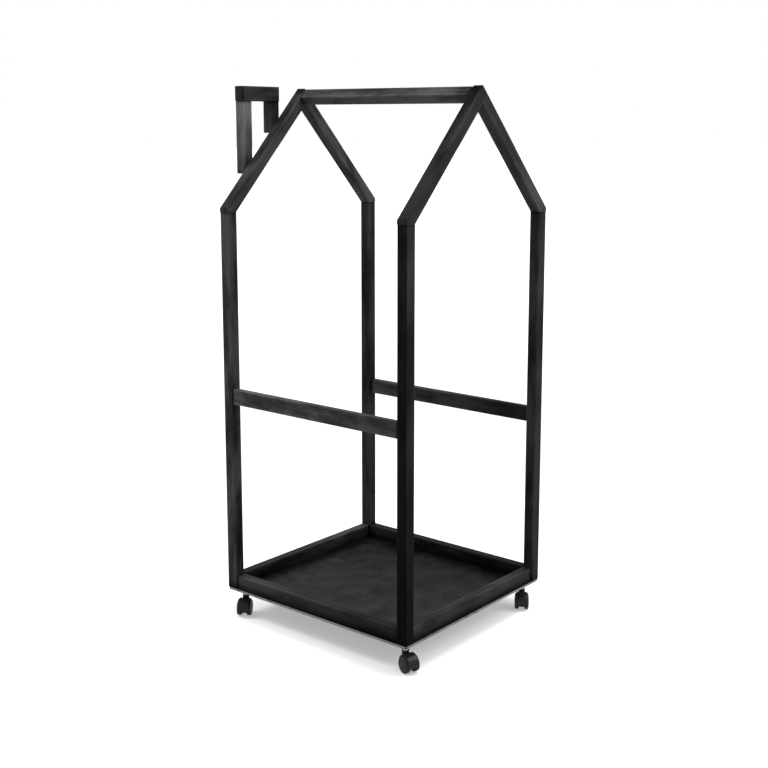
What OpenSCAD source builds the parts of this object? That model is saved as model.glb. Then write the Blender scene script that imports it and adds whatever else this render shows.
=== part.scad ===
// Firewood log rack shaped like a small house, standing on four twin-wheel castors.
//
// Frame: the floor is z = 0, the open front gable faces -Y, the ridge runs along Y.
// Four square posts stand on a thin base panel and carry two gables of mitred rafters.
// A ridge beam, two mid rails and four tray boards tie the posts together, and a small
// chimney is fixed to the back of the rear gable.  Every wood joint is held by hidden
// round dowels; the panel and the castor plates are screwed on from underneath.

/* [Frame] */
// width across a gable, outside the posts
frame_w = 570; // [420:1:760]
// depth along the ridge, outside the posts
frame_d = 608; // [420:1:800]
// length of a post between the base panel and the seat of its rafter
post_h = 993; // [650:1:1300]
// side of the square batten used for posts, rafters, ridge and chimney
batten = 30; // [26:1:40]
// easing radius along the edges of every batten
edge_r = 3; // [1:0.5:5]
// slope of the rafters above level
roof_pitch = 46.5; // [38:0.5:54]

/* [Rails] */
// height of the mid rails
rail_h = 40; // [28:1:60]
// thickness of the mid rails
rail_t = 18; // [14:1:24]
// how far the mid rails sit behind the outer faces of the posts
rail_inset = 3; // [0:0.5:5]
// centre of the left rail above the base panel
left_rail_z = 519; // [300:1:620]
// centre of the right rail above the base panel
right_rail_z = 456; // [300:1:620]

/* [Tray] */
// thickness of the base panel
panel_t = 6; // [4:0.5:9]
// radius of the corners of the base panel
panel_corner_r = 7; // [3:0.5:10]
// height of the boards that edge the tray
board_h = 35; // [32:1:70]
// thickness of those boards; their inner faces line up with the posts
board_t = 25; // [18:0.5:26]

/* [Chimney] */
// width over the two chimney posts
chimney_w = 128; // [90:1:170]
// distance of the chimney's centre line from the middle of the gable
chimney_off = 132.5; // [110:0.5:150]
// height of the chimney cap
cap_h = 38; // [26:1:50]
// how far the cap reaches past the chimney posts at each end
cap_over = 2; // [0:0.5:8]
// height of the top of the cap above the tip of the roof
cap_rise = 3; // [-10:1:60]

/* [Castors] */
// height from the floor to the underside of the base panel
castor_h = 70; // [66:1:85]
// distance of each swivel axis from the side edge of the base panel
castor_inset_x = 35; // [32:0.5:45]
// distance of each swivel axis from the front or rear edge of the base panel
castor_inset_y = 30; // [27:0.5:45]
// diameter of a castor wheel
wheel_d = 42; // [38:1:46]
// width of one castor wheel at its rim
wheel_w = 10.5; // [9:0.5:12]
// distance from the swivel axis to the axle
castor_trail = 16; // [12:0.5:18]
// side of the square castor plate
plate_w = 42; // [40:1:48]
// way each castor happens to point: front left, front right, rear left, rear right
castor_turn = [-109, -145, -146, -34]; // [-180:1:180]

/* [Hidden] */
$fn = 96;

// heights above the floor
panel_z = castor_h;
floor_z = panel_z + panel_t;
seat_z = floor_z + post_h;

// half sizes to the outside and to the inside of the posts
half_w = frame_w / 2;
half_d = frame_d / 2;
inner_w = half_w - batten;
inner_d = half_d - batten;

// roof: the notch is the inner corner of a gable, the apex its outer tip
batten_rise = batten / cos(roof_pitch);
notch_z = seat_z + inner_w * tan(roof_pitch);
apex_z = notch_z + batten_rise;
ridge_z = notch_z + batten / sqrt(2);
rafter_len = half_w / cos(roof_pitch);

// rails and boards
thin_r = 2;
rail_x = half_w - rail_inset - rail_t / 2;
board_x = inner_w + board_t / 2;
board_y = inner_d + board_t / 2;

// chimney: left edges of its two posts, and its cap
outer_post_x = -chimney_off - chimney_w / 2;
inner_post_x = -chimney_off + chimney_w / 2 - batten;
chimney_y = half_d + batten / 2;
cap_z = apex_z + cap_rise - cap_h;

// dowels
dowel_d = 8;
long_dowel = 40;
mid_dowel = 32;
short_dowel = 26;
eave_dowel = 22;

// places of the dowels: off the middle of the ridge, above the notch of a gable, above the
// tray's floor in the boards along Y and along X
ridge_dowel_x = 0.3 * batten;
apex_dowel_up = batten_rise / 5;
side_dowel_up = 0.5 * board_h;
end_dowel_up = 0.8 * board_h;

// the two dowels in a chimney post, in batten widths across and above its foot
chimney_dowel_at = [[0.3, 0.25], [0.72, 0.73]];

// gap around each dowel and screw in its bore; bores are deeper by ten times as much
bore_gap = 0.05;
bore_deeper = 20;

// screws
screw_d = 4;
flat_head_d = 8;
flat_head_h = 2.4;
flat_screw_len = 24;
pan_head_d = 7.5;
pan_head_h = 2.2;
pan_screw_len = 20;
pan_screw_short = 7;

// how far a cut reaches past the surface it opens
cut = 1;

// castor plate with its neck and swivel pin
castor_x = half_w - castor_inset_x;
castor_y = half_d - castor_inset_y;
plate_t = 2.5;
plate_r = 5;
plate_z = castor_h - plate_t;
hole_margin = 6;
plate_hole = plate_w / 2 - hole_margin;
plate_hole_d = 4.4;
neck_d = 15;
pin_d = 8;
pin_reach = 34;
pin_foot_z = castor_h - pin_reach;
running_gap = 0.05;

// rings on the swivel pin and the axle that snap into grooves and hold the castor together
snap_rise = 0.5;
snap_w = 1.6;
snap_play = 0.2;

// castor hood
boss_d = 18;
boss_drop = 19;
boss_top_z = castor_h - boss_drop;
swivel_gap = 0.3;
axle_z = wheel_d / 2;
web_t = 14;
web_inset = 5;
web_r = wheel_d / 2 - web_inset;
hood_clear = 1.3;
hood_wall = 2.3;
hood_in_r = wheel_d / 2 + hood_clear;
hood_out_r = hood_in_r + hood_wall;
hood_half_w = 15;
hood_r = 2;
hood_drop = 2;

// castor wheels and axle
axle_d = 6;
axle_half = 15.5;
wheel_gap = 0.5;
wheel_dome = 1.5;
wheel_r = 2;
cap_r = 13;
groove_r = 0.6;
dome_chord = wheel_d / 2 - wheel_r;
dome_r = (dome_chord * dome_chord + wheel_dome * wheel_dome) / (2 * wheel_dome);

// the frame is set off the middle so that the rack's whole depth is centred on y = 0
front_reach = castor_y + hood_r
    - (castor_trail + hood_out_r - hood_r) * sin(castor_turn[0])
    + (hood_half_w - hood_r) * abs(cos(castor_turn[0]));
rear_reach = half_d + batten;
frame_y = (max(front_reach, half_d) - rear_reach) / 2;

stain = [0.13, 0.13, 0.135];
raw_wood = [0.72, 0.58, 0.42];
zinc = [0.62, 0.63, 0.65];
plastic = [0.09, 0.09, 0.095];

// height of the lower edge of the rafters at a distance x from the middle
function rafter_under(x) = notch_z - abs(x) * tan(roof_pitch);

// ---- bars ----

// section of a bar with eased edges
module eased(w, h, r) {
    square([w - 2 * r, h], center = true);
    square([w, h - 2 * r], center = true);
    for (x = [-1, 1], y = [-1, 1]) {
        translate([x * (w / 2 - r), y * (h / 2 - r)]) circle(r);
    }
}

// bar lying along Y, w across and h high
module bar_y(w, h, l, r) {
    rotate([90, 0, 0]) linear_extrude(l, center = true) eased(w, h, r);
}

// bar lying along X, w across and h high
module bar_x(w, h, l, r) {
    rotate([90, 0, 90]) linear_extrude(l, center = true) eased(w, h, r);
}

// upright batten between two heights
module upright(z0, z1) {
    translate([0, 0, z0]) linear_extrude(z1 - z0) eased(batten, batten, edge_r);
}

// ---- dowels: with no gap they are the dowels, with a gap the bores that take them ----

module dowel(l, gap) {
    cylinder(d = dowel_d + 2 * gap, h = l + bore_deeper * gap, center = true);
}

module dowel_x(l, gap) {
    rotate([0, 90, 0]) dowel(l, gap);
}

module dowel_y(l, gap) {
    rotate([90, 0, 0]) dowel(l, gap);
}

// upright dowel between each post and its rafter, level dowel across each apex mitre
module gable_dowels(gap) {
    for (y = [-1, 1] * (half_d - batten / 2)) {
        for (x = [-1, 1] * (half_w - batten / 2)) {
            translate([x, y, seat_z]) dowel(eave_dowel, gap);
        }
        translate([0, y, notch_z + apex_dowel_up]) dowel_x(short_dowel, gap);
    }
}

// two dowels in each end of the ridge beam and of both mid rails
module beam_dowels(gap) {
    for (y = [-1, 1] * inner_d, k = [-1, 1]) {
        translate([k * ridge_dowel_x, y, ridge_z]) dowel_y(long_dowel, gap);
        translate([-rail_x, y, floor_z + left_rail_z + k * rail_h / 4]) dowel_y(long_dowel, gap);
        translate([rail_x, y, floor_z + right_rail_z + k * rail_h / 4]) dowel_y(long_dowel, gap);
    }
}

// one dowel in each end of the tray boards; those along X pass above those along Y
module tray_dowels(gap) {
    for (x = [-1, 1], y = [-1, 1]) {
        translate([x * board_x, y * inner_d, floor_z + side_dowel_up]) dowel_y(short_dowel, gap);
        translate([x * inner_w, y * board_y, floor_z + end_dowel_up]) dowel_x(short_dowel, gap);
    }
}

// two dowels from the rafter into each chimney post, one from the post up into the cap
module chimney_dowels(gap) {
    for (x = [outer_post_x, inner_post_x]) {
        foot_z = rafter_under(x + batten);
        for (at = chimney_dowel_at) {
            translate([x + at.x * batten, half_d, foot_z + at.y * batten]) dowel_y(mid_dowel, gap);
        }
        translate([x + batten / 2, chimney_y, cap_z]) dowel(mid_dowel, gap);
    }
}

module all_dowels(gap) {
    gable_dowels(gap);
    beam_dowels(gap);
    tray_dowels(gap);
    chimney_dowels(gap);
}

// ---- screws: drawn with or without a gap in the same way as the dowels ----

// countersunk, driven up through the base panel into the boards
module panel_screw(gap) {
    cylinder(d1 = flat_head_d + 2 * gap, d2 = screw_d + 2 * gap, h = flat_head_h);
    cylinder(d = screw_d + 2 * gap, h = flat_screw_len + bore_deeper / 2 * gap);
}

module all_panel_screws(gap) {
    for (side = [-1, 1], k = [-1, 0, 1]) {
        translate([k * half_w / 2, side * board_y, panel_z]) panel_screw(gap);
        translate([side * board_x, k * half_d / 2, panel_z]) panel_screw(gap);
    }
}

// pan-headed, through a castor plate
module plate_screw(l, gap) {
    translate([0, 0, -pan_head_h]) cylinder(d = pan_head_d, h = pan_head_h);
    cylinder(d = screw_d + 2 * gap, h = l + bore_deeper / 2 * gap);
}

// four to a plate: three reach the post and the boards, the short one only the base panel
module all_castor_screws(gap) {
    for (sx = [-1, 1], sy = [-1, 1], kx = [-1, 1], ky = [-1, 1]) {
        in_panel = kx == -1 && ky == -1;
        translate([sx * (castor_x + kx * plate_hole), sy * (castor_y + ky * plate_hole), plate_z])
            plate_screw(in_panel ? pan_screw_short : pan_screw_len, gap);
    }
}

// ---- placing ----

// a wooden member, stained and bored for every dowel and screw that crosses it
module member() {
    color(stain) translate([0, frame_y, 0]) difference() {
        children();
        all_dowels(bore_gap);
        all_panel_screws(bore_gap);
        all_castor_screws(bore_gap);
    }
}

// fasteners share the frame's place
module in_frame() {
    translate([0, frame_y, 0]) children();
}

// castors are numbered front left, front right, rear left, rear right
module at_castor(i) {
    sx = i % 2 == 0 ? -1 : 1;
    sy = i < 2 ? -1 : 1;
    translate([sx * castor_x, sy * castor_y + frame_y, 0]) children();
}

// swivelled about the pin, so that the axle lies towards the child's +X
module at_swivel(i) {
    at_castor(i) rotate([0, 0, castor_turn[i]]) children();
}

// ---- frame ----

module post(sx, sy) {
    member() translate([sx * (half_w - batten / 2), sy * (half_d - batten / 2), 0])
        upright(floor_z, seat_z);
}

// rafter with a plumb mitre at the apex, a level seat on its post and a plumb outer end
module rafter(sx, sy) {
    member() intersection() {
        translate([0, sy * (half_d - batten / 2), notch_z + batten_rise / 2])
            rotate([0, sx * (90 + roof_pitch), 0])
            translate([0, 0, -batten])
            linear_extrude(rafter_len + 2 * batten) eased(batten, batten, edge_r);
        translate([sx > 0 ? 0 : -half_w, -frame_d, seat_z])
            cube([half_w, 2 * frame_d, apex_z]);
    }
}

module rail(side, z) {
    member() translate([side * rail_x, 0, floor_z + z])
        bar_y(rail_t, rail_h, 2 * inner_d, thin_r);
}

module side_board(side) {
    member() translate([side * board_x, 0, floor_z + board_h / 2])
        bar_y(board_t, board_h, 2 * inner_d, thin_r);
}

module end_board(side) {
    member() translate([0, side * board_y, floor_z + board_h / 2])
        bar_x(board_t, board_h, 2 * inner_w, thin_r);
}

// square-cut batten standing against the back of the rear left rafter
module chimney_post(x) {
    member() translate([x + batten / 2, chimney_y, 0])
        upright(rafter_under(x + batten), cap_z);
}

module post_front_left() {
    post(-1, -1);
}

module post_front_right() {
    post(1, -1);
}

module post_rear_left() {
    post(-1, 1);
}

module post_rear_right() {
    post(1, 1);
}

module rafter_front_left() {
    rafter(-1, -1);
}

module rafter_front_right() {
    rafter(1, -1);
}

module rafter_rear_left() {
    rafter(-1, 1);
}

module rafter_rear_right() {
    rafter(1, 1);
}

// batten turned on its corner so that it nests in the tips of the gables
module ridge_beam() {
    member() translate([0, 0, ridge_z]) rotate([0, 45, 0])
        bar_y(batten, batten, 2 * inner_d, edge_r);
}

module rail_left() {
    rail(-1, left_rail_z);
}

module rail_right() {
    rail(1, right_rail_z);
}

module board_front() {
    end_board(-1);
}

module board_rear() {
    end_board(1);
}

module board_left() {
    side_board(-1);
}

module board_right() {
    side_board(1);
}

module base_panel() {
    member() translate([0, 0, panel_z])
        linear_extrude(panel_t) eased(frame_w, frame_d, panel_corner_r);
}

module chimney_post_outer() {
    chimney_post(outer_post_x);
}

module chimney_post_inner() {
    chimney_post(inner_post_x);
}

// short thick block with all of its edges eased
module chimney_cap() {
    l = chimney_w + 2 * cap_over;
    member() translate([-chimney_off, chimney_y, cap_z + cap_h / 2]) intersection() {
        bar_x(batten, cap_h, l, edge_r);
        bar_y(l, cap_h, batten, edge_r);
        linear_extrude(cap_h, center = true) eased(l, batten, edge_r);
    }
}

// ---- fasteners ----

module wood_dowels() {
    color(raw_wood) in_frame() all_dowels(0);
}

module panel_screws() {
    color(zinc) in_frame() all_panel_screws(0);
}

module castor_screws() {
    color(zinc) in_frame() all_castor_screws(0);
}

// ---- castors, drawn about the swivel axis ----

// round pin from z = 0 up, with a snap ring near its lower end; a gap makes it a bore
module snap_pin(d, l, gap) {
    ring_w = snap_w + (gap > 0 ? 2 * snap_play : 0);
    cylinder(d = d + 2 * gap, h = l);
    translate([0, 0, 2 * snap_w - ring_w / 2])
        cylinder(d = d + 2 * snap_rise + 2 * gap, h = ring_w);
}

// zinc-plated plate with the neck and swivel pin riveted into it
module castor_plate() {
    color(zinc) {
        difference() {
            translate([0, 0, plate_z]) linear_extrude(plate_t) eased(plate_w, plate_w, plate_r);
            for (x = [-1, 1] * plate_hole, y = [-1, 1] * plate_hole) {
                translate([x, y, plate_z - cut]) cylinder(d = plate_hole_d, h = plate_t + 2 * cut);
            }
        }
        translate([0, 0, boss_top_z + swivel_gap])
            cylinder(d = neck_d, h = plate_z - boss_top_z);
        translate([0, 0, pin_foot_z]) snap_pin(pin_d, plate_z - pin_foot_z, 0);
    }
}

// section through half of the hood before it is hollowed: radius along X, width along Y
module hood_section() {
    translate([0, -hood_half_w]) square([hood_out_r - hood_r, 2 * hood_half_w]);
    translate([0, hood_r - hood_half_w]) square([hood_out_r, 2 * (hood_half_w - hood_r)]);
    for (y = [-1, 1] * (hood_half_w - hood_r)) {
        translate([hood_out_r - hood_r, y]) circle(hood_r);
    }
}

// moulded hood: a shell over both wheels, the web between them and the swivel boss
module castor_hood() {
    color(plastic) difference() {
        union() {
            translate([castor_trail, 0, axle_z]) intersection() {
                rotate([90, 0, 0]) rotate_extrude() hood_section();
                translate([-wheel_d, -wheel_d, -hood_drop]) cube(2 * wheel_d);
            }
            translate([castor_trail, 0, axle_z]) rotate([90, 0, 0])
                cylinder(r = web_r, h = web_t, center = true);
            translate([0, 0, axle_z]) cylinder(d = boss_d, h = boss_top_z - axle_z);
        }
        for (side = [-1, 1]) {
            translate([castor_trail, side * (web_t + wheel_d) / 2, axle_z]) rotate([90, 0, 0])
                cylinder(r = hood_in_r, h = wheel_d, center = true);
        }
        translate([0, 0, pin_foot_z - snap_play])
            snap_pin(pin_d, castor_h, running_gap);
        translate([castor_trail, 0, axle_z]) rotate([90, 0, 0])
            cylinder(d = axle_d + 2 * running_gap, h = 2 * wheel_d, center = true);
    }
}

module castor_axle() {
    color(zinc) translate([castor_trail, 0, axle_z])
        for (a = [-90, 90]) {
            rotate([a, 0, 0]) translate([0, 0, -axle_half]) snap_pin(axle_d, axle_half, 0);
        }
}

// section through half of a wheel: radius along X, outer face upwards
module wheel_section() {
    r = wheel_d / 2;
    square([r - wheel_r, wheel_w]);
    translate([0, wheel_r]) square([r, wheel_w - 2 * wheel_r]);
    for (y = [wheel_r, wheel_w - wheel_r]) {
        translate([r - wheel_r, y]) circle(wheel_r);
    }
    intersection() {
        translate([0, wheel_w + wheel_dome - dome_r]) circle(dome_r);
        translate([0, wheel_w - cut]) square([dome_chord, wheel_dome + 2 * cut]);
    }
}

// height of the domed face of a wheel at a distance r from its middle
function dome_at(r) = wheel_w + wheel_dome - dome_r + sqrt(dome_r * dome_r - r * r);

// wheel with a groove round its hub cap, blind-bored for the axle from its inner face
module castor_wheel(side) {
    inner_y = web_t / 2 + wheel_gap;
    color(plastic) translate([castor_trail, 0, axle_z]) rotate([-90 * side, 0, 0])
        difference() {
            translate([0, 0, inner_y]) rotate_extrude() difference() {
                wheel_section();
                translate([cap_r, dome_at(cap_r)]) circle(groove_r);
            }
            translate([0, 0, axle_half + snap_play]) mirror([0, 0, 1])
                snap_pin(axle_d, axle_half, running_gap);
        }
}

module castor_fl_plate() {
    at_castor(0) castor_plate();
}

module castor_fl_hood() {
    at_swivel(0) castor_hood();
}

module castor_fl_axle() {
    at_swivel(0) castor_axle();
}

module castor_fl_wheel_left() {
    at_swivel(0) castor_wheel(1);
}

module castor_fl_wheel_right() {
    at_swivel(0) castor_wheel(-1);
}

module castor_fr_plate() {
    at_castor(1) castor_plate();
}

module castor_fr_hood() {
    at_swivel(1) castor_hood();
}

module castor_fr_axle() {
    at_swivel(1) castor_axle();
}

module castor_fr_wheel_left() {
    at_swivel(1) castor_wheel(1);
}

module castor_fr_wheel_right() {
    at_swivel(1) castor_wheel(-1);
}

module castor_rl_plate() {
    at_castor(2) castor_plate();
}

module castor_rl_hood() {
    at_swivel(2) castor_hood();
}

module castor_rl_axle() {
    at_swivel(2) castor_axle();
}

module castor_rl_wheel_left() {
    at_swivel(2) castor_wheel(1);
}

module castor_rl_wheel_right() {
    at_swivel(2) castor_wheel(-1);
}

module castor_rr_plate() {
    at_castor(3) castor_plate();
}

module castor_rr_hood() {
    at_swivel(3) castor_hood();
}

module castor_rr_axle() {
    at_swivel(3) castor_axle();
}

module castor_rr_wheel_left() {
    at_swivel(3) castor_wheel(1);
}

module castor_rr_wheel_right() {
    at_swivel(3) castor_wheel(-1);
}

post_front_left();
post_front_right();
post_rear_left();
post_rear_right();
rafter_front_left();
rafter_front_right();
rafter_rear_left();
rafter_rear_right();
ridge_beam();
rail_left();
rail_right();
board_front();
board_rear();
board_left();
board_right();
base_panel();
chimney_post_outer();
chimney_post_inner();
chimney_cap();
wood_dowels();
panel_screws();
castor_screws();
castor_fl_plate();
castor_fl_hood();
castor_fl_axle();
castor_fl_wheel_left();
castor_fl_wheel_right();
castor_fr_plate();
castor_fr_hood();
castor_fr_axle();
castor_fr_wheel_left();
castor_fr_wheel_right();
castor_rl_plate();
castor_rl_hood();
castor_rl_axle();
castor_rl_wheel_left();
castor_rl_wheel_right();
castor_rr_plate();
castor_rr_hood();
castor_rr_axle();
castor_rr_wheel_left();
castor_rr_wheel_right();
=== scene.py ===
"""Looks of the firewood rack: black-stained battens, a raw-edged base panel and plastic castors."""
import math

import bpy
from mathutils import Matrix, Vector


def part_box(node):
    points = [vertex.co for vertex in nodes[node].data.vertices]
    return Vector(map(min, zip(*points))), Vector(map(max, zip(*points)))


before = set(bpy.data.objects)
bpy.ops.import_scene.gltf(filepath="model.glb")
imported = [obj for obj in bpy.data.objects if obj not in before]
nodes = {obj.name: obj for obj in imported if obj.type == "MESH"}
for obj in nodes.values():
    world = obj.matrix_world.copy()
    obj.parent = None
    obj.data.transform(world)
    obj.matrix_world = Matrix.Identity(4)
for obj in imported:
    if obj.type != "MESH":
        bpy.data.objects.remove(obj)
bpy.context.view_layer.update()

# ---- sizes taken from the frame, metres ----

panel_lo, panel_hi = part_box("base_panel")
frame_mid = Vector(((panel_lo.x + panel_hi.x) / 2, (panel_lo.y + panel_hi.y) / 2, panel_lo.z))
post_lo, post_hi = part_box("post_front_left")
BATTEN = post_hi.x - post_lo.x
ROOF_PITCH = math.radians(46.5)

# ---- the photograph's camera, placed from the middle of the base panel's underside ----

CAMERA_OFFSET = Vector((-2.3820, -1.9962, 1.2237))
CAMERA_YAW = math.radians(38.672)
CAMERA_PITCH = math.radians(9.520)
CAMERA_ROLL = math.radians(0.200)
CAMERA_LENS = 56.99
CAMERA_SHIFT = (-0.0362, -0.075)
SENSOR_WIDTH = 36.0
CAMERA_CLIP = (0.05, 200.0)


def make_camera():
    data = bpy.data.cameras.new("camera")
    data.lens = CAMERA_LENS
    data.sensor_width = SENSOR_WIDTH
    data.shift_x, data.shift_y = CAMERA_SHIFT
    data.clip_start, data.clip_end = CAMERA_CLIP
    camera = bpy.data.objects.new("camera", data)
    bpy.context.scene.collection.objects.link(camera)
    forward = Vector((
        math.cos(CAMERA_YAW) * math.cos(CAMERA_PITCH),
        math.sin(CAMERA_YAW) * math.cos(CAMERA_PITCH),
        -math.sin(CAMERA_PITCH),
    ))
    level = forward.to_track_quat("-Z", "Y").to_matrix()
    camera.matrix_world = Matrix.Translation(frame_mid + CAMERA_OFFSET) @ (
        level @ Matrix.Rotation(CAMERA_ROLL, 3, "Z")
    ).to_4x4()
    bpy.context.scene.camera = camera


# ---- node helpers ----

class Graph:
    """Short ways to add shader nodes to one node tree."""

    def __init__(self, tree):
        self.tree = tree
        tree.nodes.clear()

    def add(self, kind, inputs=None, **settings):
        node = self.tree.nodes.new(kind)
        for key, value in settings.items():
            setattr(node, key, value)
        for key, value in (inputs or {}).items():
            self.put(node.inputs[key], value)
        return node

    def put(self, socket, value):
        if isinstance(value, bpy.types.NodeSocket):
            self.tree.links.new(value, socket)
        else:
            socket.default_value = value

    def math(self, operation, a, b=0.0, c=0.0):
        node = self.add("ShaderNodeMath", operation=operation)
        for i, value in enumerate((a, b, c)):
            self.put(node.inputs[i], value)
        return node.outputs[0]

    def remap(self, value, low, high, out_low=0.0, out_high=1.0, smooth=True):
        node = self.add(
            "ShaderNodeMapRange",
            {"Value": value, "From Min": low, "From Max": high, "To Min": out_low, "To Max": out_high},
            interpolation_type="SMOOTHSTEP" if smooth else "LINEAR",
        )
        return node.outputs["Result"]

    def mix(self, factor, a, b):
        node = self.add("ShaderNodeMix", data_type="RGBA")
        self.put(node.inputs["Factor"], factor)
        self.put(node.inputs["A"], a)
        self.put(node.inputs["B"], b)
        return node.outputs["Result"]

    def noise(self, vector, scale, detail=3.0, roughness=0.55, distortion=0.0):
        node = self.add(
            "ShaderNodeTexNoise",
            {"Vector": vector, "Scale": scale, "Detail": detail, "Roughness": roughness,
             "Distortion": distortion},
        )
        return node.outputs["Fac"]

    def coordinate(self, kind="Object"):
        return self.add("ShaderNodeTexCoord").outputs[kind]

    def split(self, vector):
        return self.add("ShaderNodeSeparateXYZ", {"Vector": vector}).outputs

    def stretched(self, vector, scale, offset=(0.0, 0.0, 0.0), turn=(0.0, 0.0, 0.0)):
        node = self.add(
            "ShaderNodeMapping",
            {"Vector": vector, "Scale": scale, "Location": offset, "Rotation": turn},
        )
        return node.outputs["Vector"]

    def bump(self, height, strength, distance):
        node = self.add(
            "ShaderNodeBump", {"Height": height, "Strength": strength, "Distance": distance})
        return node.outputs["Normal"]

    def surface(self, inputs):
        """Ends the tree with one principled shader."""
        shader = self.add("ShaderNodeBsdfPrincipled", inputs)
        self.add("ShaderNodeOutputMaterial", {"Surface": shader.outputs["BSDF"]})


def new_material(name):
    material = bpy.data.materials.new(name)
    material.use_nodes = True
    return material, Graph(material.node_tree)


def grey(level):
    return (level, level, level * 1.01, 1.0)


# ---- how each wooden piece lies ----

X, Y, Z = (1, 0, 0), (0, 1, 0), (0, 0, 1)


class Member:
    """Where a wooden piece lies: its middle, its grain direction and its half sizes."""

    def __init__(self, middle, grain, across, half_across, half_other, half_length):
        self.middle = Vector(middle)
        w, u = Vector(grain).normalized(), Vector(across).normalized()
        self.axes = Matrix((u, w.cross(u), w)).transposed()
        self.half = (half_across, half_other)
        self.half_length = half_length


def box_member(name, grain, across):
    """A member that lies square to the frame, with its grain along one axis."""
    low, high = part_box(name)
    size = high - low
    other = Vector(grain).cross(Vector(across))
    return Member(
        (low + high) / 2, grain, across,
        abs(size.dot(Vector(across))) / 2, abs(size.dot(other)) / 2, size.dot(Vector(grain)) / 2,
    )


def upright(name):
    return box_member(name, Z, X)


def lengthwise(name):
    return box_member(name, Y, X)


def crosswise(name):
    return box_member(name, X, Y)


def rafter(name):
    """A rafter: its middle line rises at the roof's pitch and ends at the apex."""
    side = -1 if name.endswith("_left") else 1
    low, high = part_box(name)
    rise = BATTEN / math.cos(ROOF_PITCH)
    length = (high.x - low.x) / math.cos(ROOF_PITCH)
    climb = Vector((-side * math.cos(ROOF_PITCH), 0, math.sin(ROOF_PITCH)))
    apex = Vector((0, (low.y + high.y) / 2, high.z - rise / 2))
    return Member(apex - climb * length / 2, climb, Y, BATTEN / 2, BATTEN / 2, length / 2)


def ridge(name):
    """The ridge beam: a batten turned on its corner."""
    low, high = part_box(name)
    return Member((low + high) / 2, Y, (1, 0, 1), BATTEN / 2, BATTEN / 2, (high.y - low.y) / 2)


# how each wooden piece lies, and how light it is at its two ends: bottom and top,
# front and rear, left and right, or eave and apex; 1 is the usual tone
# these tones are partly uneven stain and partly painted light and shade, such as the dark foot
# of the front left post and the light ridge
WOOD = {
    "post_front_left": (upright, 0.04, 1.0),
    "post_front_right": (upright, 0.85, 0.7),
    "post_rear_left": (upright, 1.4, 0.95),
    "post_rear_right": (upright, 0.75, 0.6),
    "rafter_front_left": (rafter, 0.7, 0.65),
    "rafter_front_right": (rafter, 1.3, 1.0),
    "rafter_rear_left": (rafter, 1.25, 1.05),
    "rafter_rear_right": (rafter, 1.5, 1.05),
    "ridge_beam": (ridge, 2.0, 1.65),
    "rail_left": (lengthwise, 1.5, 3.0),
    "rail_right": (lengthwise, 0.35, 1.3),
    "board_front": (crosswise, 1.35, 1.15),
    "board_rear": (crosswise, 0.4, 2.0),
    "board_left": (lengthwise, 0.45, 1.4),
    "board_right": (lengthwise, 0.25, 0.4),
    "chimney_post_outer": (upright, 1.9, 3.0),
    "chimney_post_inner": (upright, 1.2, 0.5),
    "chimney_cap": (crosswise, 0.7, 0.7),
    "base_panel": (crosswise, 1.2, 0.45),
}
SEED_STEP = 1.7

# painted light and shade on the left face: how much lighter or darker it is than the other faces of
# the same member
LEFT_FACE_PAINTED_LIGHT = {
    "post_front_left": 0.3,
    "post_rear_left": 1.4,
    "board_right": 1.5,
}

# ---- black stain ----

# greys of the stain where it lies thick, where it lies thin, and along the edges, where it is rubbed
# through and a painted highlight runs along the rounded arrises
STAIN_DARK = 0.0015
STAIN_LIGHT = 0.021
STAIN_WORN_AND_HIGHLIT = 0.035
STAIN_SPECULAR = 0.02

# each pattern's scale, detail, roughness and distortion
FIBRE_NOISE = (1100.0, 4.0, 0.62, 0.0)
STREAK_NOISE = (210.0, 3.0, 0.6, 0.4)
MOTTLE_NOISE = (70.0, 4.0, 0.6, 0.0)
PATCH_NOISE = (24.0, 3.0, 0.5, 0.0)
RING_WAVE = {"Scale": 62.0, "Distortion": 3.2, "Detail": 2.0, "Detail Scale": 1.6}

# how much each pattern is packed along the grain; below 1 it is drawn out
GRAIN_DRAW = 0.04
RING_DRAW = 0.10
MOTTLE_DRAW = 0.4
PATCH_DRAW = 0.25

# where the rings' centre lies in a member, metres, and how far it leans from the grain, radians
RING_CENTRE = (0.021, -0.034)
RING_LEAN = (0.03, 0.02, 0)

# how the patterns add up, and the parts of their sums that show
GRAIN_WEIGHTS = {"fibres": 0.45, "streaks": 0.55, "rings": 0.12}
CLOUD_WEIGHTS = {"mottle": 0.25, "patches": 0.75}
RELIEF_WEIGHTS = {"fibres": 0.35, "streaks": 0.45, "rings": 0.18, "mottle": 0.35}
GRAIN_RANGE = (0.36, 0.74)
CLOUD_SPREAD = 0.13
THIN_WEIGHTS = {"grain": 0.3, "cloud": 0.7}
GLOSS_WEIGHTS = {"mottle": 1.0, "thin": 0.6}
GLOSS_RANGE = (0.3, 1.1)
STAIN_ROUGHNESS = (0.34, 0.56)
RELIEF_STRENGTH = 0.5
RELIEF_DEPTH = 0.0006

# wear and a painted highlight along the edges, and painted shade at the ends of members, where they
# meet other pieces, and just above the panel, where they stand on it
EDGE_START = 0.0016
EDGE_REACH = 0.007
WORN_AND_HIGHLIT_PATCHES = (0.36, 0.62)
WORN_AND_HIGHLIT_RANGE = (0.08, 0.4)
JOINT_SHADE_REACH = 0.009
JOINT_SHADE_TONE = 0.3
FOOT_SHADE_REACH = 0.028
FOOT_SHADE_TONE = 0.25

# from a normal that looks left to one that looks well away from it, for the painted light and shade on
# left faces
LEFT_FACING = (-0.9, -0.5)


def local_position(g, member):
    """Position in the member's own frame: across, other way across, along the grain."""
    node = g.add(
        "ShaderNodeMapping",
        {"Vector": g.coordinate(), "Location": member.middle, "Rotation": member.axes.to_euler()},
        vector_type="TEXTURE",
    )
    return node.outputs["Vector"]


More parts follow.
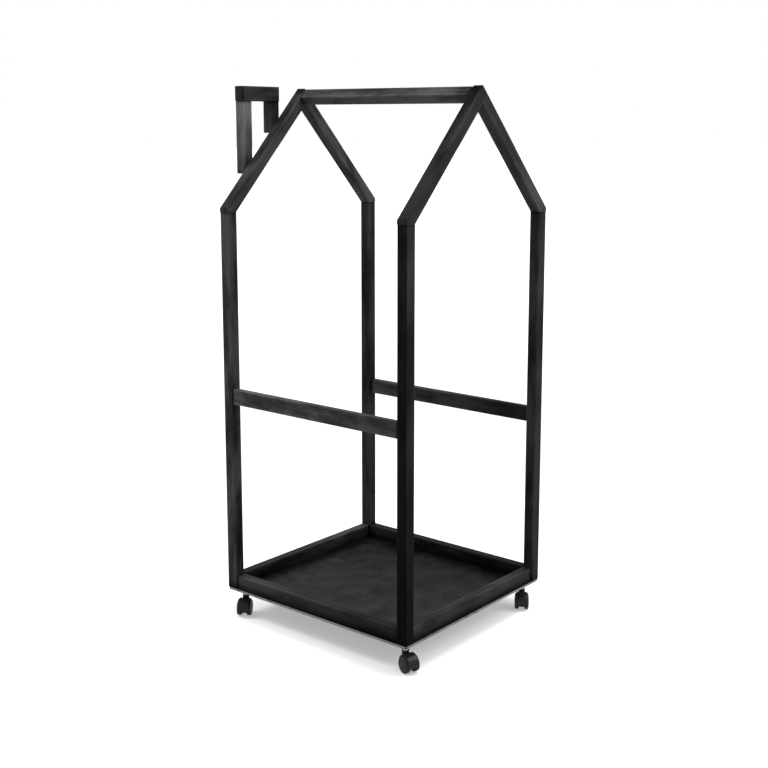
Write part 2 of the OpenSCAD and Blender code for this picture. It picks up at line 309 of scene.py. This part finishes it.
def growth_rings(g, position, seed):
    centre = (RING_CENTRE[0], RING_CENTRE[1], seed)
    node = g.add(
        "ShaderNodeTexWave",
        {"Vector": g.stretched(position, (1, 1, RING_DRAW), centre, RING_LEAN), **RING_WAVE},
        wave_type="RINGS", rings_direction="Z",
    )
    return node.outputs["Fac"]


def edge_mask(g, position, half):
    """1 along the long edges of a member, falling to 0 a little way onto its faces."""
    place = g.split(position)
    inset_u = g.math("SUBTRACT", half[0], g.math("ABSOLUTE", place["X"]))
    inset_v = g.math("SUBTRACT", half[1], g.math("ABSOLUTE", place["Y"]))
    return g.remap(g.math("ADD", inset_u, inset_v), EDGE_START, EDGE_REACH, 1.0, 0.0)


def stain_patterns(g, position, half, seed, grain_draw=GRAIN_DRAW, patch_draw=PATCH_DRAW):
    """Patterns of one stained piece: fibres, streaks, rings, mottling, wide patches, worn edges."""
    fibre_place = g.stretched(position, (1, 1, grain_draw), (seed, 0, seed))
    streak_place = g.stretched(position, (1, 1, grain_draw), (0, seed, 0))
    mottle_place = g.stretched(position, (1, 1, MOTTLE_DRAW), (seed, seed, 0))
    patch_place = g.stretched(position, (1, 1, patch_draw), (0, seed, seed))
    return {
        "fibres": g.noise(fibre_place, *FIBRE_NOISE),
        "streaks": g.noise(streak_place, *STREAK_NOISE),
        "rings": growth_rings(g, position, seed),
        "mottle": g.noise(mottle_place, *MOTTLE_NOISE),
        "patches": g.noise(patch_place, *PATCH_NOISE),
        "edges": edge_mask(g, position, half),
    }


def added_up(g, patterns, weights):
    """Sum of the named patterns, each times its weight."""
    total = 0.0
    for name, weight in weights.items():
        total = g.math("MULTIPLY_ADD", patterns[name], weight, total)
    return total


def tone_along(g, position, half_length, tones):
    """Tone along a member, from the tones at its two ends, with painted shade near its two ends, where
    it meets other pieces, and just above the panel.
    """
    along = g.split(position)["Z"]
    tone = g.remap(along, -half_length, half_length, tones[0], tones[1], smooth=False)
    # painted shade near both ends, where the member meets other pieces
    from_end = g.math("SUBTRACT", half_length, g.math("ABSOLUTE", along))
    tone = g.math("MULTIPLY", tone, g.remap(from_end, 0.0, JOINT_SHADE_REACH, JOINT_SHADE_TONE, 1.0))
    # painted shade just above the panel
    above_panel = g.math("SUBTRACT", g.split(g.coordinate())["Z"], panel_hi.z)
    return g.math("MULTIPLY", tone, g.remap(above_panel, 0.0, FOOT_SHADE_REACH, FOOT_SHADE_TONE, 1.0))


def painted_left_face_light(g, tone):
    """Painted light and shade: a tone on the face that looks to the left, and 1 on the others."""
    facing = g.split(g.coordinate("Normal"))["X"]
    return g.remap(facing, *LEFT_FACING, tone, 1.0)


def toned(g, level, tone):
    """A grey scaled by a tone that varies over the piece."""
    node = g.add(
        "ShaderNodeVectorMath", {"Vector": grey(level)[:3], "Scale": tone}, operation="SCALE")
    return node.outputs["Vector"]


def stain_colour(g, patterns, tone, cloud_spread=CLOUD_SPREAD):
    """The stain's colour, lighter along the edges where it is rubbed through and where a painted
    highlight runs along the rounded arrises, and how thin it lies.
    """
    grain = g.remap(added_up(g, patterns, GRAIN_WEIGHTS), *GRAIN_RANGE)
    cloud = g.remap(added_up(g, patterns, CLOUD_WEIGHTS), 0.5 - cloud_spread, 0.5 + cloud_spread)
    thin = added_up(g, {"grain": grain, "cloud": cloud}, THIN_WEIGHTS)
    colour = g.mix(thin, toned(g, STAIN_DARK, tone), toned(g, STAIN_LIGHT, tone))
    # lighter along the edges: worn stain, and a painted highlight on the rounded arrises
    patchy = g.remap(patterns["patches"], *WORN_AND_HIGHLIT_PATCHES, *WORN_AND_HIGHLIT_RANGE)
    worn_and_highlit = g.math("MULTIPLY", patterns["edges"], patchy)
    return g.mix(worn_and_highlit, colour, toned(g, STAIN_WORN_AND_HIGHLIT, tone)), thin


def stain_surface(g, patterns, colour, thin):
    """Satin surface with raised grain."""
    gloss = added_up(g, {"mottle": patterns["mottle"], "thin": thin}, GLOSS_WEIGHTS)
    relief = added_up(g, patterns, RELIEF_WEIGHTS)
    g.surface({
        "Base Color": colour, "Specular IOR Level": STAIN_SPECULAR,
        "Roughness": g.remap(gloss, *GLOSS_RANGE, *STAIN_ROUGHNESS),
        "Normal": g.bump(relief, RELIEF_STRENGTH, RELIEF_DEPTH),
    })


def stained_wood(name, seed):
    material, g = new_material("stain_" + name)
    lie, *tones = WOOD[name]
    member = lie(name)
    position = local_position(g, member)
    patterns = stain_patterns(g, position, member.half, seed)
    tone = tone_along(g, position, member.half_length, tones)
    # painted light and shade on the left face of some members
    if name in LEFT_FACE_PAINTED_LIGHT:
        tone = g.math("MULTIPLY", tone, painted_left_face_light(g, LEFT_FACE_PAINTED_LIGHT[name]))
    stain_surface(g, patterns, *stain_colour(g, patterns, tone))
    return material


# ---- base panel: the same stain on its faces, and a raw pale core along its edges ----

TRAY_GRAIN_DRAW = 0.5
TRAY_PATCH_DRAW = 0.9
TRAY_CLOUD_SPREAD = 0.24
# painted shade on the tray's floor near the boards: how far it reaches and how dark it gets
TRAY_BOARD_SHADE_REACH = 0.06
TRAY_BOARD_SHADE_TONE = 0.4

# the core's grey, how far chips and smeared stain darken it, and their patterns
RAW_EDGE = 0.17
CHIP_SHADE = 0.62
CHIP_NOISE = (700.0, 4.0, 0.7)
CHIP_RANGE = (0.35, 0.7)
SMEAR_SHADE = 0.35
SMEAR_NOISE = (42.0, 4.0, 0.6)
SMEAR_RANGE = (0.30, 0.52)

# from a normal on the panel's faces to one on its edges
FACE_TO_EDGE = (0.55, 0.25)


def tray_tone(g, position, member, tones):
    """Tone of the tray's floor from left to right, with painted shade near the boards, where they
    stand on it.
    """
    place = g.split(position)
    reach = member.half_length
    tone = g.remap(place["Z"], -reach, reach, tones[0], tones[1], smooth=False)
    inset_u = g.math("SUBTRACT", member.half[0] - BATTEN, g.math("ABSOLUTE", place["X"]))
    inset_w = g.math("SUBTRACT", reach - BATTEN, g.math("ABSOLUTE", place["Z"]))
    inset = g.math("MINIMUM", inset_u, inset_w)
    return g.math("MULTIPLY", tone, g.remap(inset, 0.0, TRAY_BOARD_SHADE_REACH, TRAY_BOARD_SHADE_TONE, 1.0))


def raw_core(g, position, seed):
    """Pale board core, speckled by its chips and smeared with stain here and there."""
    chips = g.remap(g.noise(position, *CHIP_NOISE), *CHIP_RANGE)
    smear_place = g.stretched(position, (1, 1, 1), (seed, 0, 0))
    smear = g.remap(g.noise(smear_place, *SMEAR_NOISE), *SMEAR_RANGE)
    core = g.mix(chips, grey(RAW_EDGE * CHIP_SHADE), grey(RAW_EDGE))
    return g.mix(smear, grey(RAW_EDGE * SMEAR_SHADE), core)


def base_board(name, seed):
    material, g = new_material("stain_" + name)
    lie, *tones = WOOD[name]
    member = lie(name)
    position = local_position(g, member)
    patterns = stain_patterns(g, position, member.half, seed, TRAY_GRAIN_DRAW, TRAY_PATCH_DRAW)
    tone = tray_tone(g, position, member, tones)
    colour, thin = stain_colour(g, patterns, tone, TRAY_CLOUD_SPREAD)
    flatness = g.math("ABSOLUTE", g.split(g.coordinate("Normal"))["Z"])
    on_edge = g.remap(flatness, *FACE_TO_EDGE)
    stain_surface(g, patterns, g.mix(on_edge, colour, raw_core(g, position, seed)), thin)
    return material


# ---- dowels, metal and plastic ----

BEECH_DARK = (0.42, 0.27, 0.14, 1)
BEECH_LIGHT = (0.60, 0.43, 0.26, 1)
BEECH_ROUGHNESS = 0.7
BEECH_DRAW = 0.2
BEECH_NOISE = (320.0, 4.0)
SOFT_RANGE = (0.35, 0.65)

ZINC_DULL = 0.30
ZINC_BRIGHT = 0.46
ZINC_ROUGHNESS = (0.28, 0.46)
SPANGLE_NOISE = (160.0, 3.0)
RUB_DRAW = 9
RUB_NOISE = (420.0, 3.0)
RUB_RANGE = (0.3, 0.7)

HOOD_LEVEL = 0.006
HOOD_ROUGHNESS = (0.34, 0.52)
WHEEL_LEVEL = 0.004
WHEEL_ROUGHNESS = (0.40, 0.60)
PLASTIC_SPECULAR = 0.16
TEXTURE_NOISE = (2600.0, 2.0)
SCUFF_NOISE = (210.0, 4.0, 0.65)
SCUFF_RANGE = (0.48, 0.72)
SCUFF_LIFT = 2.4

FINE_RELIEF_STRENGTH = 0.25
FINE_RELIEF_DEPTH = 0.0002


def raw_wood():
    """Beech dowels, hidden in their bores."""
    material, g = new_material("raw_wood")
    place = g.stretched(g.coordinate(), (1, 1, BEECH_DRAW))
    grain = g.remap(g.noise(place, *BEECH_NOISE), *SOFT_RANGE)
    g.surface({"Base Color": g.mix(grain, BEECH_DARK, BEECH_LIGHT), "Roughness": BEECH_ROUGHNESS})
    return material


def zinc():
    """Bright zinc plating with faint cloudy spangle and fine rub marks."""
    material, g = new_material("zinc")
    place = g.coordinate()
    cloud = g.remap(g.noise(place, *SPANGLE_NOISE), *SOFT_RANGE)
    rub = g.noise(g.stretched(place, (1, 1, RUB_DRAW)), *RUB_NOISE)
    g.surface({
        "Base Color": g.mix(cloud, grey(ZINC_DULL), grey(ZINC_BRIGHT)), "Metallic": 1.0,
        "Roughness": g.remap(rub, *RUB_RANGE, *ZINC_ROUGHNESS),
        "Normal": g.bump(rub, FINE_RELIEF_STRENGTH, FINE_RELIEF_DEPTH),
    })
    return material


def moulded_plastic(name, level, roughness):
    """Black nylon with a fine spark-eroded texture and dusty scuffs."""
    material, g = new_material(name)
    place = g.coordinate()
    texture = g.noise(place, *TEXTURE_NOISE)
    scuff = g.remap(g.noise(place, *SCUFF_NOISE), *SCUFF_RANGE)
    g.surface({
        "Base Color": g.mix(scuff, grey(level), grey(level * SCUFF_LIFT)),
        "Roughness": g.remap(scuff, 0.0, 1.0, *roughness),
        "Specular IOR Level": PLASTIC_SPECULAR,
        "Normal": g.bump(texture, FINE_RELIEF_STRENGTH, FINE_RELIEF_DEPTH),
    })
    return material


# ---- dressing the frame ----

EASE_WIDTH = 0.0005
EASE_SEGMENTS = 2
EASE_ANGLE = math.radians(40)
WELD_DISTANCE = 1e-6


def wear(node, material):
    node.data.materials.clear()
    node.data.materials.append(material)


def ease_cut_ends(node):
    """Takes the sharpness off the sawn ends, so that joints read as fine dark lines."""
    weld = node.modifiers.new("weld", "WELD")
    weld.merge_threshold = WELD_DISTANCE
    bevel = node.modifiers.new("ease", "BEVEL")
    bevel.width = EASE_WIDTH
    bevel.segments = EASE_SEGMENTS
    bevel.limit_method = "ANGLE"
    bevel.angle_limit = EASE_ANGLE
    bevel.harden_normals = False


def dress_nodes():
    for i, name in enumerate(WOOD):
        dress = base_board if name == "base_panel" else stained_wood
        wear(nodes[name], dress(name, i * SEED_STEP))
        ease_cut_ends(nodes[name])
    wear(nodes["wood_dowels"], raw_wood())
    metal = zinc()
    hood = moulded_plastic("hood_plastic", HOOD_LEVEL, HOOD_ROUGHNESS)
    wheel = moulded_plastic("wheel_plastic", WHEEL_LEVEL, WHEEL_ROUGHNESS)
    for name, node in nodes.items():
        if name.endswith(("_screws", "_plate", "_axle")):
            wear(node, metal)
        elif name.endswith("_hood"):
            wear(node, hood)
        elif "_wheel_" in name:
            wear(node, wheel)


# ---- studio ----

FLOOR_RADIUS = 60.0
FLOOR_SIDES = 96
FLOOR_GREY = 0.5
FLOOR_ROUGHNESS = 0.9

# the floor's own light, and the distances from the rack over which it rises
FLOOR_GLOW = (0.35, 1.0)
FLOOR_GLOW_DISTANCE = (0.8, 5.0)

# the studio's light at the horizon and overhead, and the heights between which it dims
WORLD_LIGHT = (1.0, 0.8)
WORLD_DIMMING = (0.2, 0.9)

# name, place, size and power; all aimed at the middle of the rack
LIGHT_TARGET = Vector((0, 0, 0.7))
LIGHTS = (
    ("overhead", (0.3, -0.6, 2.6), (1.2, 1.2), 60),
    ("front_right", (0.9, -1.4, 1.4), (0.8, 1.0), 24),
    ("rear_left", (-1.0, 1.6, 1.9), (0.8, 0.8), 52),
)


def make_floor():
    """A pale floor with a little light of its own, which fades into the white of the studio."""
    bpy.ops.mesh.primitive_circle_add(
        vertices=FLOOR_SIDES, radius=FLOOR_RADIUS, fill_type="NGON")
    floor = bpy.context.object
    floor.name = "floor"
    material, g = new_material("floor")
    length = g.add("ShaderNodeVectorMath", {"Vector": g.coordinate()}, operation="LENGTH")
    glow = g.remap(length.outputs["Value"], *FLOOR_GLOW_DISTANCE, *FLOOR_GLOW)
    g.surface({
        "Base Color": grey(FLOOR_GREY), "Roughness": FLOOR_ROUGHNESS, "Specular IOR Level": 0.0,
        "Emission Color": grey(1.0), "Emission Strength": glow,
    })
    floor.data.materials.append(material)


def make_world():
    """White studio, a little dimmer overhead than at the horizon."""
    world = bpy.data.worlds.new("studio")
    bpy.context.scene.world = world
    world.use_nodes = True
    g = Graph(world.node_tree)
    height = g.split(g.coordinate("Generated"))["Z"]
    strength = g.remap(height, *WORLD_DIMMING, *WORLD_LIGHT)
    back = g.add("ShaderNodeBackground", {"Color": (1, 1, 1, 1), "Strength": strength})
    g.add("ShaderNodeOutputWorld", {"Surface": back.outputs["Background"]})


def make_light(name, place, size, power):
    data = bpy.data.lights.new(name, "AREA")
    data.shape = "RECTANGLE"
    data.size, data.size_y = size
    data.energy = power
    light = bpy.data.objects.new(name, data)
    aim = LIGHT_TARGET - Vector(place)
    light.matrix_world = Matrix.Translation(place) @ aim.to_track_quat("-Z", "Y").to_matrix().to_4x4()
    bpy.context.scene.collection.objects.link(light)


def make_studio():
    bpy.context.scene.view_settings.view_transform = "Standard"
    make_floor()
    make_world()
    for light in LIGHTS:
        make_light(*light)


make_camera()
dress_nodes()
make_studio()
